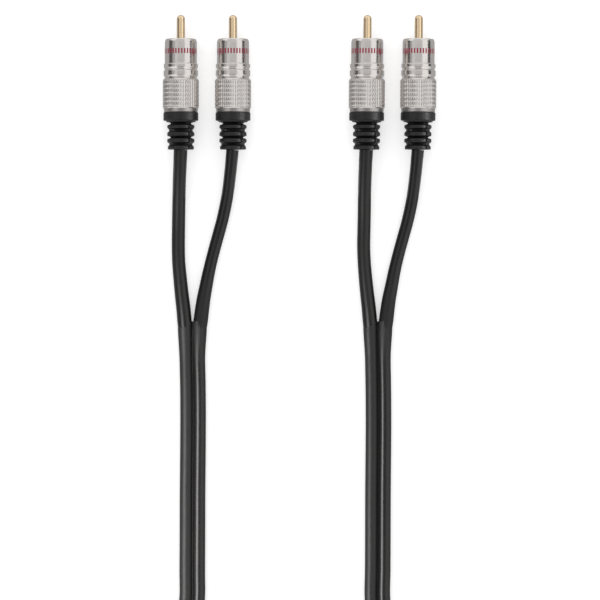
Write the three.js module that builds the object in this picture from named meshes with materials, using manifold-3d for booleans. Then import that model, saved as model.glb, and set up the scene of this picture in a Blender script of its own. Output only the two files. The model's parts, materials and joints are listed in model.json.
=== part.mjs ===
// A stereo audio lead: four metal-shelled phono plugs, a pair at each end of a figure-eight twin cable.
// Millimetres, +Z up. The lead lies on a flat surface at z = 0, and its plugs point along +Y.
// The origin is on that surface, under the middle of the four plugs.

import * as THREE from 'three';
import { mergeVertices } from 'three/addons/utils/BufferGeometryUtils.js';
import Module from 'manifold-3d';

// Fits
const clearance = 0.3;            // between pieces that seat on, in or against each other

// Centre pin, with its solder cup
const pinDiameter = 3.2;
const pinReach = 8.9;             // pin that stands out of the barrel's mouth
const pinTipLength = 1.3;
const pinRootDiameter = 2.4;
const cupDiameter = 3.0;
const cupLength = 4.2;
const cupBore = 1.8;
const cupDepth = 3.4;

// Ground sleeve: the slotted contact ring that grips a socket, and its threaded body
const socketDiameter = 8.3;       // socket barrel that the ring grips
const sleeveWall = 0.5;
const sleeveRecess = 0.8;         // ring's front edge behind the barrel's mouth
const sleeveSlotWidth = 0.7;
const sleeveSlotLength = 6.6;
const threadStep = 0.35;          // thread's height over the ring
const threadLength = 5.2;
const sleeveSeatDiameter = 6.6;   // hole that holds the insulator

// Insulator between pin and sleeve
const insulatorDepth = 8.2;       // its front face behind the barrel's mouth
const insulatorHeadLength = 1.8;
const insulatorTailLength = 4.6;

// Barrel, one turned shell, from its mouth backwards
const noseWall = 1.3;
const noseLength = 10.15;
const mouthRounding = 0.75;
const beadHeight = 0.4;           // over the nose
const beadWidth = 2.25;
const beadGroove = 0.5;           // groove before, between and after the beads
const knurlHeight = 0.8;          // over the nose
const knurlLength = 11.7;
const knurlDepth = 0.3;
const knurlFlutes = 24;
const neckHeight = 0.4;           // over the nose
const neckLength = 0.85;
const chamberWall = 1.1;          // under the knurl's flutes
const rearWall = 1.2;
const rearOpening = 9.2;

// Insulating liner inside the barrel
const linerWall = 0.35;

// Cable clamp: a stamped washer with an arm and a folded claw
const clampSheet = 0.6;
const clampArmWidth = 3.6;
const clawLength = 2.4;
const clawSetback = 1.0;          // from the claw's end to the boot's lip
const clawMouth = 2.6;            // gap left between the claw's folded ends

// Prepared cable end inside the plug
const strippedLength = 3.2;       // insulated core bared of its jacket
const coreDiameter = 2.8;
const conductorDiameter = 1.1;
const conductorReach = 2.6;       // conductor inside the solder cup

// Boot, one moulded strain relief with flexing ribs
const collarHeight = 0.2;         // over the barrel's neck
const collarLength = 3.3;
const collarRounding = 0.35;
const spigotLipHeight = 0.6;
const spigotLipLength = 0.7;
const flangeDiameter = 11.1;
const flangeLength = 0.6;
const ribDiameter = 10.7;
const lastRibDiameter = 10.3;
const ribWidths = [1.45, 1.6, 1.6, 1.4];
const ribGaps = [1.1, 1.35, 0.95, 1.2];
const deepCore = 8.0;             // boot left between ribs, alternately deep and shallow
const shallowCore = 8.75;
const slotWidth = 5.2;            // flexing slots above and below, between the ribs
const slotFloor = 6.9;            // across the floors of two opposite slots

// Cable
const legDiameter = 5.2;
const twinWidth = 9.9;
const webThickness = 2.6;         // across the groove between the two conductors

// Places of the plugs
const mouthPlace = 17.3;          // y of the barrels' mouths
const outerLeftPlace = -46.3;
const innerLeftPlace = -26.0;
const innerRightPlace = 26.4;
const outerRightPlace = 46.4;
const rightPairLean = 0.5;        // degrees that the right pair leans to +X
const plugPlaces = [
  { x: outerLeftPlace, lean: 0 },
  { x: innerLeftPlace, lean: 0 },
  { x: innerRightPlace, lean: rightPairLean },
  { x: outerRightPlace, lean: rightPairLean },
];

// Coil of the spare cable, wound two turns wide and two turns high
const coilPlace = { x: -5.5, y: -284 };
const coilMiddle = 100.2;         // diameter at the middle of the turns
const tieWidth = 7;
const tieThickness = 0.8;

// Looks
const goldPlate = { color: 0xd9b26a, roughness: 0.25, metalness: 1 };
const satinNickel = { color: 0xbdb9b3, roughness: 0.28, metalness: 1 };
const tinnedSteel = { color: 0xb8b8b6, roughness: 0.35, metalness: 1 };
const bareCopper = { color: 0xb8734a, roughness: 0.35, metalness: 1 };
const whitePlastic = { color: 0xe8e4da, roughness: 0.5, metalness: 0 };
const clearFilm = { color: 0xc9c9c4, roughness: 0.4, metalness: 0 };
const bootRubber = { color: 0x1d1d1e, roughness: 0.7, metalness: 0 };
const cableVinyl = { color: 0x333335, roughness: 0.5, metalness: 0 };
const tieFabric = { color: 0x161616, roughness: 0.9, metalness: 0 };

// Sizes worked out from the ones above
const sleeveRadius = socketDiameter / 2 + sleeveWall;
const threadRadius = sleeveRadius + threadStep;
const boreRadius = sleeveRadius + clearance;
const noseRadius = boreRadius + noseWall;
const beadRadius = noseRadius + beadHeight;
const knurlRadius = noseRadius + knurlHeight;
const neckRadius = noseRadius + neckHeight;
const chamberRadius = knurlRadius - knurlDepth - chamberWall;
const linerRadius = chamberRadius - clearance;
const openingRadius = rearOpening / 2;
const spigotRadius = openingRadius - clearance;
const lipRadius = spigotRadius + spigotLipHeight;
const collarRadius = neckRadius + collarHeight;
const jacketRadius = legDiameter / 2;
const bootBore = jacketRadius + clearance;
const seatRadius = sleeveSeatDiameter / 2;

// Stations along a plug, from the barrel's mouth at 0 towards the cable
const noseEnd = -noseLength;
const knurlStart = noseEnd - 3 * beadGroove - 2 * beadWidth;
const knurlEnd = knurlStart - knurlLength;
const barrelEnd = knurlEnd - neckLength;
const rearWallStart = barrelEnd + rearWall;
const insulatorStep = -insulatorDepth - insulatorHeadLength;
const threadStart = insulatorStep;
const threadEnd = threadStart - threadLength;
const insulatorEnd = insulatorStep - insulatorTailLength;
const cupStart = insulatorEnd - clearance;
const cupEnd = cupStart - cupLength;
const clampStart = threadEnd - clearance;
const coreStart = cupEnd - clearance;
const jacketStart = coreStart - strippedLength;
const lipStart = rearWallStart + clearance + spigotLipLength;
const clampEnd = lipStart + clawSetback;
const linerStart = clampStart - clampSheet - clearance;
const linerEnd = lipStart + clearance;
const collarStart = barrelEnd - clearance;
const collarEnd = collarStart - collarLength;
const flangeEnd = collarEnd - flangeLength;
const bootEnd = ribGaps.reduce((end, gap, i) => end - gap - ribWidths[i], flangeEnd);

// Facets round each kind of piece
const shellSides = 24;
const boreSides = 16;
const bootSides = 14;
const sleeveSides = 16;
const smallSides = 12;
const wireSides = 8;
const legSteps = 14;              // about a step for each two diameters of leg
const twinSteps = 13;
const cutOver = 1;                // how far a cut runs past the face it opens
const weldDistance = 1e-4;        // corners closer than this are one

const wasm = await Module();
wasm.setup();

// A closed three.js geometry as a solid that can be joined and cut, with its faces pointing out.
function solid(geometry) {
  const bare = geometry.clone();
  bare.deleteAttribute('normal');
  bare.deleteAttribute('uv');
  const welded = mergeVertices(bare, weldDistance);
  const place = welded.attributes.position;
  const corner = (i) => new THREE.Vector3().fromBufferAttribute(place, i);
  const kept = [];
  let volume = 0;
  for (let i = 0; i < welded.index.count; i += 3) {
    const [a, b, c] = [0, 1, 2].map((j) => welded.index.getX(i + j));
    if (a === b || b === c || c === a) continue;
    kept.push([a, b, c]);
    volume += corner(a).dot(corner(b).cross(corner(c)));
  }
  const outward = volume < 0 ? kept.map(([a, b, c]) => [a, c, b]) : kept;
  return new wasm.Manifold(new wasm.Mesh({
    numProp: 3,
    vertProperties: place.array,
    triVerts: Uint32Array.from(outward.flat()),
  }));
}

// A solid as a named mesh with a material of its own.
function mesh(name, shape, look) {
  const cut = shape.getMesh();
  const geometry = new THREE.BufferGeometry();
  geometry.setAttribute('position', new THREE.BufferAttribute(cut.vertProperties, 3));
  geometry.setIndex(new THREE.BufferAttribute(cut.triVerts, 1));
  geometry.computeVertexNormals();
  const piece = new THREE.Mesh(geometry, new THREE.MeshStandardMaterial(look));
  piece.name = name;
  return piece;
}

// A solid turned about Y from [radius, station] points that start and end on the axis or close on themselves.
function turned(profile, sides) {
  const points = profile.map(([radius, station]) => new THREE.Vector2(radius, station));
  return solid(new THREE.LatheGeometry(points, sides));
}

// A turned rod between two stations.
function rod(radius, front, back, sides) {
  return turned([[0, back], [radius, back], [radius, front], [0, front]], sides);
}

// A turned tube between two stations.
function tube(outer, inner, front, back, sides) {
  return turned([[outer, front], [inner, front], [inner, back], [outer, back], [outer, front]], sides);
}

// A box by its low and high corners.
function box(low, high) {
  const size = high.map((value, i) => value - low[i]);
  const geometry = new THREE.BoxGeometry(...size);
  geometry.translate(...low.map((value, i) => value + size[i] / 2));
  return solid(geometry);
}

// Points on a quarter round in a profile, from the first angle to the second.
function rounding(radius, station, size, fromAngle, toAngle, steps) {
  return Array.from({ length: steps + 1 }, (unused, i) => {
    const angle = THREE.MathUtils.degToRad(fromAngle + (toAngle - fromAngle) * i / steps);
    return [radius + size * Math.cos(angle), station + size * Math.sin(angle)];
  });
}

// The pin is one turned piece: round tip, shank, thin root in the insulator, and a cup open on top.
function centrePin() {
  const radius = pinDiameter / 2;
  const tipStart = pinReach - pinTipLength;
  const tip = [90, 60, 30, 0].map((degrees) => {
    const angle = THREE.MathUtils.degToRad(degrees);
    return [radius * Math.cos(angle), tipStart + pinTipLength * Math.sin(angle)];
  });
  const body = turned([
    ...tip.map(([across, station], i) => [i === 0 ? 0 : across, station]),
    [radius, insulatorStep],
    [pinRootDiameter / 2, insulatorStep],
    [pinRootDiameter / 2, cupStart],
    [cupDiameter / 2, cupStart],
    [cupDiameter / 2, cupEnd],
    [0, cupEnd],
  ], smallSides);
  const bore = rod(cupBore / 2, cupEnd + cupDepth, cupEnd - cutOver, wireSides);
  const halfCup = cupDiameter / 2 + cutOver;
  const opening = box([-halfCup, cupEnd - cutOver, 0], [halfCup, cupEnd + cupDepth, halfCup]);
  return body.subtract(bore).subtract(opening);
}

function insulator() {
  const head = socketDiameter / 2 - clearance;
  const tail = seatRadius - clearance;
  const shankHole = pinDiameter / 2 + clearance;
  const rootHole = pinRootDiameter / 2 + clearance;
  const step = insulatorStep - clearance;
  return turned([
    [shankHole, -insulatorDepth],
    [head, -insulatorDepth],
    [head, insulatorStep + clearance],
    [tail, insulatorStep + clearance],
    [tail, insulatorEnd],
    [rootHole, insulatorEnd],
    [rootHole, step],
    [shankHole, step],
    [shankHole, -insulatorDepth],
  ], smallSides);
}

// The sleeve is one turned piece, with crossed saw cuts that leave four springy leaves.
function groundSleeve() {
  const ringBore = socketDiameter / 2;
  const body = turned([
    [ringBore, -sleeveRecess],
    [sleeveRadius, -sleeveRecess],
    [sleeveRadius, threadStart],
    [threadRadius, threadStart],
    [threadRadius, threadEnd],
    [seatRadius, threadEnd],
    [seatRadius, insulatorStep],
    [ringBore, insulatorStep],
    [ringBore, -sleeveRecess],
  ], sleeveSides);
  const half = sleeveSlotWidth / 2;
  const wide = sleeveRadius + cutOver;
  const slotEnd = -sleeveRecess - sleeveSlotLength;
  const across = box([-wide, slotEnd, -half], [wide, cutOver, half]);
  const upright = box([-half, slotEnd, -wide], [half, cutOver, wide]);
  return body.subtract(across).subtract(upright);
}

// Straight flutes stand for the knurl; the section is a ring of ridges about Y.
function knurlBand() {
  const ridges = new THREE.Shape();
  for (let i = 0; i < 2 * knurlFlutes; i += 1) {
    const angle = Math.PI * i / knurlFlutes;
    const radius = i % 2 === 0 ? knurlRadius : knurlRadius - knurlDepth;
    const point = [radius * Math.cos(angle), radius * Math.sin(angle)];
    if (i === 0) ridges.moveTo(...point);
    else ridges.lineTo(...point);
  }
  ridges.closePath();
  const band = new THREE.ExtrudeGeometry(ridges, { depth: knurlLength, bevelEnabled: false });
  band.rotateX(Math.PI / 2);
  band.translate(0, knurlStart, 0);
  return solid(band);
}

// The barrel is one turned shell: smooth nose, two beads, knurled grip and a plain neck, bored from both ends.
function barrel() {
  const beads = [0, 1].flatMap((i) => {
    const front = noseEnd - beadGroove - i * (beadWidth + beadGroove);
    return [
      [noseRadius, front],
      [beadRadius, front - beadWidth / 4],
      [beadRadius, front - beadWidth * 3 / 4],
      [noseRadius, front - beadWidth],
    ];
  });
  const outside = turned([
    [0, 0],
    ...rounding(noseRadius - mouthRounding, -mouthRounding, mouthRounding, 90, 0, 3),
    ...beads,
    [noseRadius, knurlStart],
    [neckRadius, knurlStart],
    [neckRadius, barrelEnd],
    [0, barrelEnd],
  ], shellSides);
  const threadBore = threadRadius + clearance;
  const bore = turned([
    [0, cutOver],
    [boreRadius, cutOver],
    [boreRadius, threadStart + clearance],
    [threadBore, threadStart + clearance],
    [threadBore, threadEnd - clearance],
    [chamberRadius, threadEnd - clearance],
    [chamberRadius, rearWallStart],
    [openingRadius, rearWallStart],
    [openingRadius, barrelEnd - cutOver],
    [0, barrelEnd - cutOver],
  ], boreSides);
  return outside.add(knurlBand()).subtract(bore);
}

// The clamp is stamped from one sheet: a washer behind the sleeve, an arm, and a claw round the jacket.
function cableClamp() {
  const armInside = jacketRadius + clearance;
  const armOutside = armInside + clampSheet;
  const washerHole = cupDiameter / 2 + 2 * clearance;
  const armStart = clampStart - clampSheet;
  const half = clampArmWidth / 2;
  const washer = tube(seatRadius + clampSheet, washerHole, clampStart, armStart, smallSides);
  const arm = box([-half, clampEnd, -armOutside], [half, armStart + clampSheet / 2, -armInside]);
  const claw = tube(armOutside, armInside, clampEnd + clawLength, clampEnd, smallSides);
  const mouth = box(
    [-clawMouth / 2, clampEnd - cutOver, 0],
    [clawMouth / 2, clampEnd + clawLength + cutOver, armOutside + cutOver],
  );
  return washer.add(arm).add(claw.subtract(mouth));
}

// The screen's tinned tail lies under the bared core, on the clamp's arm.
function screenTail() {
  const around = tube(jacketRadius, coreDiameter / 2 + clearance, coreStart, jacketStart + clearance, smallSides);
  const wide = jacketRadius + cutOver;
  const upperHalf = box([-wide, jacketStart - cutOver, -clearance], [wide, cupEnd, wide]);
  return around.subtract(upperHalf);
}

// The boot is one moulding: a lip and spigot in the barrel, a collar, then ribs over a slotted core.
function boot() {
  const corner = collarRounding;
  const ribs = [];
  const slots = [];
  let station = flangeEnd;
  ribWidths.forEach((width, i) => {
    const core = (i % 2 === 0 ? deepCore : shallowCore) / 2;
    const radius = (i === ribWidths.length - 1 ? lastRibDiameter : ribDiameter) / 2;
    const front = station;
    station -= ribGaps[i];
    ribs.push([core, front], [core, station], [radius, station], [radius, station - width]);
    for (const side of [-1, 1]) {
      const depths = [side * slotFloor / 2, side * ribDiameter].sort((a, b) => a - b);
      slots.push(box([-slotWidth / 2, station, depths[0]], [slotWidth / 2, front, depths[1]]));
    }
    station -= width;
  });
  const body = turned([
    [0, lipStart],
    [lipRadius, lipStart],
    [lipRadius, lipStart - spigotLipLength],
    [spigotRadius, lipStart - spigotLipLength],
    [spigotRadius, collarStart],
    [collarRadius - corner, collarStart],
    [collarRadius, collarStart - corner],
    [collarRadius, collarEnd + corner],
    [collarRadius - corner, collarEnd],
    [flangeDiameter / 2, collarEnd],
    [flangeDiameter / 2, flangeEnd],
    ...ribs,
    [0, bootEnd],
  ], bootSides);
  const bore = rod(bootBore, lipStart + cutOver, bootEnd - cutOver, bootSides);
  return slots.reduce((rest, slot) => rest.subtract(slot), body).subtract(bore);
}

// One plug with its pieces about the local Y axis, its mouth at the local origin.
function plug(number, { x, lean }) {
  const group = new THREE.Group();
  const conductorStart = cupEnd + conductorReach;
  const pieces = [
    ['centre_pin', centrePin(), goldPlate],
    ['insulator', insulator(), whitePlastic],
    ['ground_sleeve', groundSleeve(), goldPlate],
    ['barrel', barrel(), satinNickel],
    ['liner', tube(linerRadius, linerRadius - linerWall, linerStart, linerEnd, smallSides), clearFilm],
    ['cable_clamp', cableClamp(), tinnedSteel],
    ['screen_tail', screenTail(), tinnedSteel],
    ['conductor', rod(conductorDiameter / 2, conductorStart, cupEnd, wireSides), bareCopper],
    ['insulated_core', rod(coreDiameter / 2, coreStart, jacketStart + clearance, smallSides), whitePlastic],
    ['cable_end', rod(jacketRadius, jacketStart, bootEnd, smallSides), cableVinyl],
    ['boot', boot(), bootRubber],
  ];
  for (const [name, shape, look] of pieces) group.add(mesh(`plug${number}_${name}`, shape, look));
  group.position.set(x, mouthPlace, knurlRadius);
  group.rotation.z = -THREE.MathUtils.degToRad(lean);
  return group;
}

// A solid swept along a smooth line through the points.
function swept(section, points, steps) {
  const line = new THREE.CatmullRomCurve3(points.map((point) => new THREE.Vector3(...point)), false, 'centripetal');
  return solid(new THREE.ExtrudeGeometry(new THREE.Shape(section), { extrudePath: line, steps }));
}

// The round section of one leg.
function legSection() {
  const sides = 10;
  return Array.from({ length: sides }, (unused, i) => {
    const angle = 2 * Math.PI * i / sides;
    return new THREE.Vector2(jacketRadius * Math.cos(angle), jacketRadius * Math.sin(angle));
  });
}

// The figure-eight section of the twin cable: its first axis is the thickness, its second the width.
function twinSection() {
  const lobe = (twinWidth - legDiameter) / 2;
  const quarter = [50, 100].map((degrees) => {
    const angle = THREE.MathUtils.degToRad(degrees);
    return [jacketRadius * Math.sin(angle), lobe + jacketRadius * Math.cos(angle)];
  });
  const side = [[0, twinWidth / 2], ...quarter, [webThickness / 2, 0]];
  const lower = quarter.map(([thick, wide]) => [thick, -wide]).reverse();
  const half = [...side, ...lower];
  const back = half.map(([thick, wide]) => [-thick, -wide]);
  return [...half, ...back].map(([thick, wide]) => new THREE.Vector2(thick, wide));
}

// Routes of the four legs, from the boot to the join with the twin cable
const onFloor = jacketRadius;
const joinPlace = -93.2;
const legRoutes = [
  [
    [-46.4, -26.6, 7.05], [-46.65, -32.6, 6.8], [-46.92, -38.8, 6.0], [-47.1, -45.1, 4.8], [-47.24, -51.3, 3.6],
    [-47.36, -57.6, 2.8], [-47.42, -63.8, onFloor], [-47.27, -70.0, onFloor], [-46.73, -76.3, onFloor],
    [-46.1, -82.5, onFloor], [-45.37, -88.8, onFloor], [-45.0, joinPlace, onFloor],
  ],
  [
    [-26.2, -26.6, 7.05], [-26.65, -31.5, 6.8], [-27.2, -36.5, 6.1], [-27.9, -42.0, 4.9], [-28.95, -48.0, 3.7],
    [-30.4, -54.4, 2.85], [-32.15, -60.7, onFloor], [-33.85, -67.0, onFloor], [-35.35, -73.2, onFloor],
    [-36.6, -79.4, onFloor], [-37.75, -85.7, onFloor], [-38.8, joinPlace, onFloor],
  ],
  [
    [25.9, -26.6, 7.05], [25.6, -32.6, 6.8], [25.38, -38.8, 6.0], [25.25, -45.1, 4.8], [25.2, -51.3, 3.6],
    [25.08, -57.6, 2.8], [24.98, -63.8, onFloor], [25.2, -70.0, onFloor], [25.7, -76.3, onFloor],
    [26.33, -82.5, onFloor], [27.05, -88.8, onFloor], [27.3, joinPlace, onFloor],
  ],
  [
    [46.0, -26.6, 7.05], [45.55, -31.5, 6.8], [45.05, -36.5, 6.1], [44.4, -42.0, 4.9], [43.45, -48.0, 3.7],
    [42.03, -54.4, 2.85], [40.3, -60.7, onFloor], [38.58, -67.0, onFloor], [37.08, -73.2, onFloor],
    [35.87, -79.4, onFloor], [34.68, -85.7, onFloor], [33.5, joinPlace, onFloor],
  ],
];

// Routes of the twin cable, from each join to where it lies against the coil
const twinRoutes = {
  twin_left: [
    [-41.9, -93.5, onFloor], [-41.9, -106.3, onFloor], [-41.7, -119, onFloor], [-41.6, -131.5, onFloor],
    [-41.65, -145, onFloor], [-41.75, -160, onFloor], [-41.8, -175, onFloor], [-41.9, -190, onFloor],
    [-42.0, -202, onFloor], [-43.7, -212, onFloor], [-48.2, -222, onFloor], [-54.0, -232, onFloor],
    [-58.6, -241, onFloor], [-60.5, -250, onFloor],
  ],
  twin_right: [
    [30.4, -93.5, onFloor], [30.4, -106.3, onFloor], [30.6, -119, onFloor], [30.7, -131.5, onFloor],
    [30.65, -145, onFloor], [30.55, -160, onFloor], [30.5, -175, onFloor], [30.4, -190, onFloor],
    [30.4, -202, onFloor], [32.1, -212, 2.8], [36.8, -222, 3.6], [42.8, -232, 4.9],
    [47.4, -241, 6.2], [49.4, -250, 7.25],
  ],
};

// The coil's solid is the ring that its turns fill, lying on the tie's lower run.
function coilRing() {
  const middle = coilMiddle / 2;
  const low = tieThickness + clearance;
  const sides = 44;
  const ring = tube(middle + twinWidth, middle - twinWidth, low + 2 * legDiameter, low, sides);
  return ring.rotate([90, 0, 0]).translate([coilPlace.x, coilPlace.y, 0]);
}

// The tie is a strap round all the turns, on the side of the coil away from the plugs.
function coilTie() {
  const bow = tieWidth ** 2 / (8 * (coilMiddle / 2 - twinWidth));
  const wide = twinWidth + clearance + bow;
  const low = tieThickness;
  const high = low + 2 * clearance + 2 * legDiameter;
  const outline = new THREE.Shape([
    new THREE.Vector2(-wide - tieThickness, 0),
    new THREE.Vector2(wide + tieThickness, 0),
    new THREE.Vector2(wide + tieThickness, high + tieThickness),
    new THREE.Vector2(-wide - tieThickness, high + tieThickness),
  ]);
  outline.holes.push(new THREE.Path([
    new THREE.Vector2(-wide, low),
    new THREE.Vector2(-wide, high),
    new THREE.Vector2(wide, high),
    new THREE.Vector2(wide, low),
  ]));
  const strap = new THREE.ExtrudeGeometry(outline, { depth: tieWidth, bevelEnabled: false });
  strap.rotateX(Math.PI / 2);
  strap.rotateZ(Math.PI / 2);
  strap.translate(coilPlace.x - tieWidth / 2, coilPlace.y - coilMiddle / 2, 0);
  return solid(strap);
}

const lead = new THREE.Group();
plugPlaces.forEach((place, i) => lead.add(plug(i + 1, place)));
legRoutes.forEach((route, i) => lead.add(mesh(`leg${i + 1}`, swept(legSection(), route, legSteps), cableVinyl)));
for (const [name, route] of Object.entries(twinRoutes)) {
  lead.add(mesh(name, swept(twinSection(), route, twinSteps), cableVinyl));
}
lead.add(mesh('cable_coil', coilRing(), cableVinyl));
lead.add(mesh('coil_tie', coilTie(), tieFabric));

export default lead;
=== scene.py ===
"""Looks of a stereo audio lead: metal-shelled phono plugs on a figure-eight cable, on a pale floor.

Laid out as an add-on and run as a script. Lengths are in metres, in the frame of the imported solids:
+X across the plugs, +Y the way the pins point, +Z up from the floor.
"""

import json
import math

import bmesh
import bpy
from mathutils import Matrix, Vector


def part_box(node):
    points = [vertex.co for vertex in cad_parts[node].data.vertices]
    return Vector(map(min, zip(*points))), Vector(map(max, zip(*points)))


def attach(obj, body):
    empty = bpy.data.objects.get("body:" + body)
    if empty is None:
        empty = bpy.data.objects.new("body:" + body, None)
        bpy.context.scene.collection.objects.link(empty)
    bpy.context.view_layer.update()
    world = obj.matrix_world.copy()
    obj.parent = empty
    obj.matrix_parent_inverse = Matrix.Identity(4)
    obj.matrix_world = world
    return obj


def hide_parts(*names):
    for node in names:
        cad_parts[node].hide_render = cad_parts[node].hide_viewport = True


bl_info = {
    "name": "Phono Lead",
    "version": (1, 0, 0),
    "blender": (4, 5, 0),
    "location": "3D View > Sidebar > Phono Lead",
    "description": "Builds the cable, plugs and studio of a stereo audio lead around its packed solids",
    "category": "Object",
}

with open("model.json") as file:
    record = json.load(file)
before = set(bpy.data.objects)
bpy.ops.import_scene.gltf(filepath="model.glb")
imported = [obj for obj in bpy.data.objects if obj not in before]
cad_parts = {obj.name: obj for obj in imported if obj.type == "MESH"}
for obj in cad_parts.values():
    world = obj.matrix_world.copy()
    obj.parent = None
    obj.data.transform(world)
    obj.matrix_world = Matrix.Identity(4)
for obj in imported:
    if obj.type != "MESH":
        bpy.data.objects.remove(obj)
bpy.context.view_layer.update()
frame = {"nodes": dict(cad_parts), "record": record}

MM = 0.001
BODY = "root"
PLUGS = (1, 2, 3, 4)
LEFT_LEGS = (1, 3)  # of each pair of legs; their gloss runs on into the twin cable
TURN = 2 * math.pi
UP = Vector((0, 0, 1))
SHARP_EDGE = math.radians(38)
UV_PER_MM = 0.01  # a turned piece's V coordinate for each millimetre along its axis
NECK_START = 27.6 * MM  # behind the barrel's mouth
VIEW_CENTRE = Vector((0.1, -84.9, 5.0)) * MM
FILM_WIDTH = 36  # of the camera, in millimetres


def extent(node):
    """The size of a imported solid's box."""
    low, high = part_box(node)
    return high - low


BARREL_LENGTH = extent("plug1_barrel").y
GRIP_RADIUS = extent("plug1_barrel").z / 2
PIN_RADIUS = extent("plug1_centre_pin").z / 2
RING_RADIUS = extent("plug1_ground_sleeve").z / 2


# Settings

def length(name, description, default):
    """A length that can be set in the sidebar."""
    return bpy.props.FloatProperty(
        name=name, description=description, default=default, min=0, unit="LENGTH", precision=5
    )


def share(name, description, default, most=1.0):
    """A plain number that can be set in the sidebar."""
    return bpy.props.FloatProperty(name=name, description=description, default=default, min=0, max=most)


def count(name, description, default):
    """A whole number that can be set in the sidebar."""
    return bpy.props.IntProperty(name=name, description=description, default=default, min=1)


def colour(name, description, default):
    """A linear colour that can be set in the sidebar."""
    return bpy.props.FloatVectorProperty(
        name=name, description=description, default=(*default, 1), size=4, min=0, max=1, subtype="COLOR"
    )


class PhonoCableSettings(bpy.types.PropertyGroup):
    """Sizes and finish of the cable, its coil and the tie."""

    twin_length: length("Twin length", "Figure-eight cable between the two joins", 1.5)
    lobe_radius: length("Lobe radius", "Radius of each jacket in the twin cable", 2.5 * MM)
    lobe_spacing: length("Lobe spacing", "Between the centres of the two jackets", 5.05 * MM)
    web_thickness: length("Web thickness", "Thickness of the web between the jackets", 0.3 * MM)
    join_spacing: length("Join spacing", "Between the jackets' centres where they part", 5.8 * MM)
    join_radius: length("Join radius", "Radius of each jacket where they part", 2.85 * MM)
    join_length: length("Join length", "Cable over which the jackets close up after the join", 16 * MM)
    thick_leg: length("Thick leg radius", "Radius of each pair's left leg", 2.58 * MM)
    thin_leg: length("Thin leg radius", "Radius of each pair's right leg", 2.36 * MM)
    coil_middle: length("Coil middle", "Radius at the middle of the coil's turns", 50.1 * MM)
    turn_pitch: length("Turn pitch", "Between turns that lie side by side", 10.0 * MM)
    layer_pitch: length("Layer pitch", "Between turns that lie on each other", 4.95 * MM)
    coil_turns: share("Coil turns", "Turns in the coil", 3.5, 20)
    tie_width: length("Tie width", "Width of the strap round the coil", 7.0 * MM)
    tie_thickness: length("Tie thickness", "Thickness of the strap", 0.8 * MM)
    ring_step: length("Ring step", "Distance between the rings of the cable's mesh", 1.6 * MM)
    vinyl: colour("Vinyl", "Colour of the cable's jacket", (0.0062, 0.0061, 0.0063))
    strap: colour("Strap", "Colour of the coil's tie", (0.012, 0.012, 0.013))


class PhonoPlugSettings(bpy.types.PropertyGroup):
    """Sizes and finish of the plugs."""

    nose_radius: length("Nose radius", "Radius of the barrel's smooth nose", GRIP_RADIUS - 0.8 * MM)
    bead_rise: length("Bead rise", "Height of the beads over the nose", 0.42 * MM)
    neck_rise: length("Neck rise", "Height of the barrel's neck over the nose", 0.38 * MM)
    knurl_columns: count("Knurl columns", "Ridges round the grip", 48)
    knurl_row: length("Knurl row", "Length of each row of ridges along the grip", 1.67 * MM)
    knurl_depth: length("Knurl depth", "Depth of the grooves along the grip", 0.16 * MM)
    ring_depth: length("Ring depth", "Depth of the grooves round the grip", 0.16 * MM)
    mark_count: count("Marks", "Short red dashes printed round the nose", 34)
    mark_start: length("Mark start", "Front edge of the dashes behind the mouth", 4.4 * MM)
    mark_end: length("Mark end", "Rear edge of the dashes behind the mouth", 6.4 * MM)
    nickel: colour("Nickel", "Colour of the barrel's plating", (0.77, 0.735, 0.71))
    gold: colour("Gold", "Colour of the contacts' plating", (0.99, 0.78, 0.52))
    ink: colour("Ink", "Colour of the printed dashes", (0.33, 0.02, 0.05))
    rubber: colour("Rubber", "Colour of the boots", (0.0045, 0.0045, 0.0048))


class PhonoStageSettings(bpy.types.PropertyGroup):
    """The camera, the floor and the lights."""

    view_width: length("View width", "Width of the floor that the camera sees", 234 * MM)
    camera_height: length("Camera height", "Height of the camera over the floor", 1.5)
    floor_size: length("Floor size", "Side of the square floor", 12.0)
    floor: colour("Floor", "Colour of the floor", (0.82, 0.82, 0.82))
    floor_lift: share("Floor lift", "White added to the floor where it is looked at", 0.46)
    sky: share("Sky", "Light that the studio's tent gives", 0.8, 4)


# Shader graphs

def one_way(operation):
    """An operator that adds a Math node."""
    return lambda signal, other: signal.math(operation, signal, other)


def both_ways(operation):
    """An operator that adds a Math node, and its reflected form."""
    return one_way(operation), lambda signal, other: signal.math(operation, other, signal)


class Signal:
    """A shader socket that takes part in Python expressions; each operator adds a Math node."""

    def __init__(self, graph, socket):
        self.graph = graph
        self.socket = socket

    def math(self, operation, *values):
        return self.graph.add("Math", {"operation": operation}, dict(enumerate(values)))

    __add__, __radd__ = both_ways("ADD")
    __sub__, __rsub__ = both_ways("SUBTRACT")
    __mul__, __rmul__ = both_ways("MULTIPLY")
    __gt__, __lt__ = one_way("GREATER_THAN"), one_way("LESS_THAN")

    def fraction(self):
        return self.math("FRACT", self)


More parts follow.
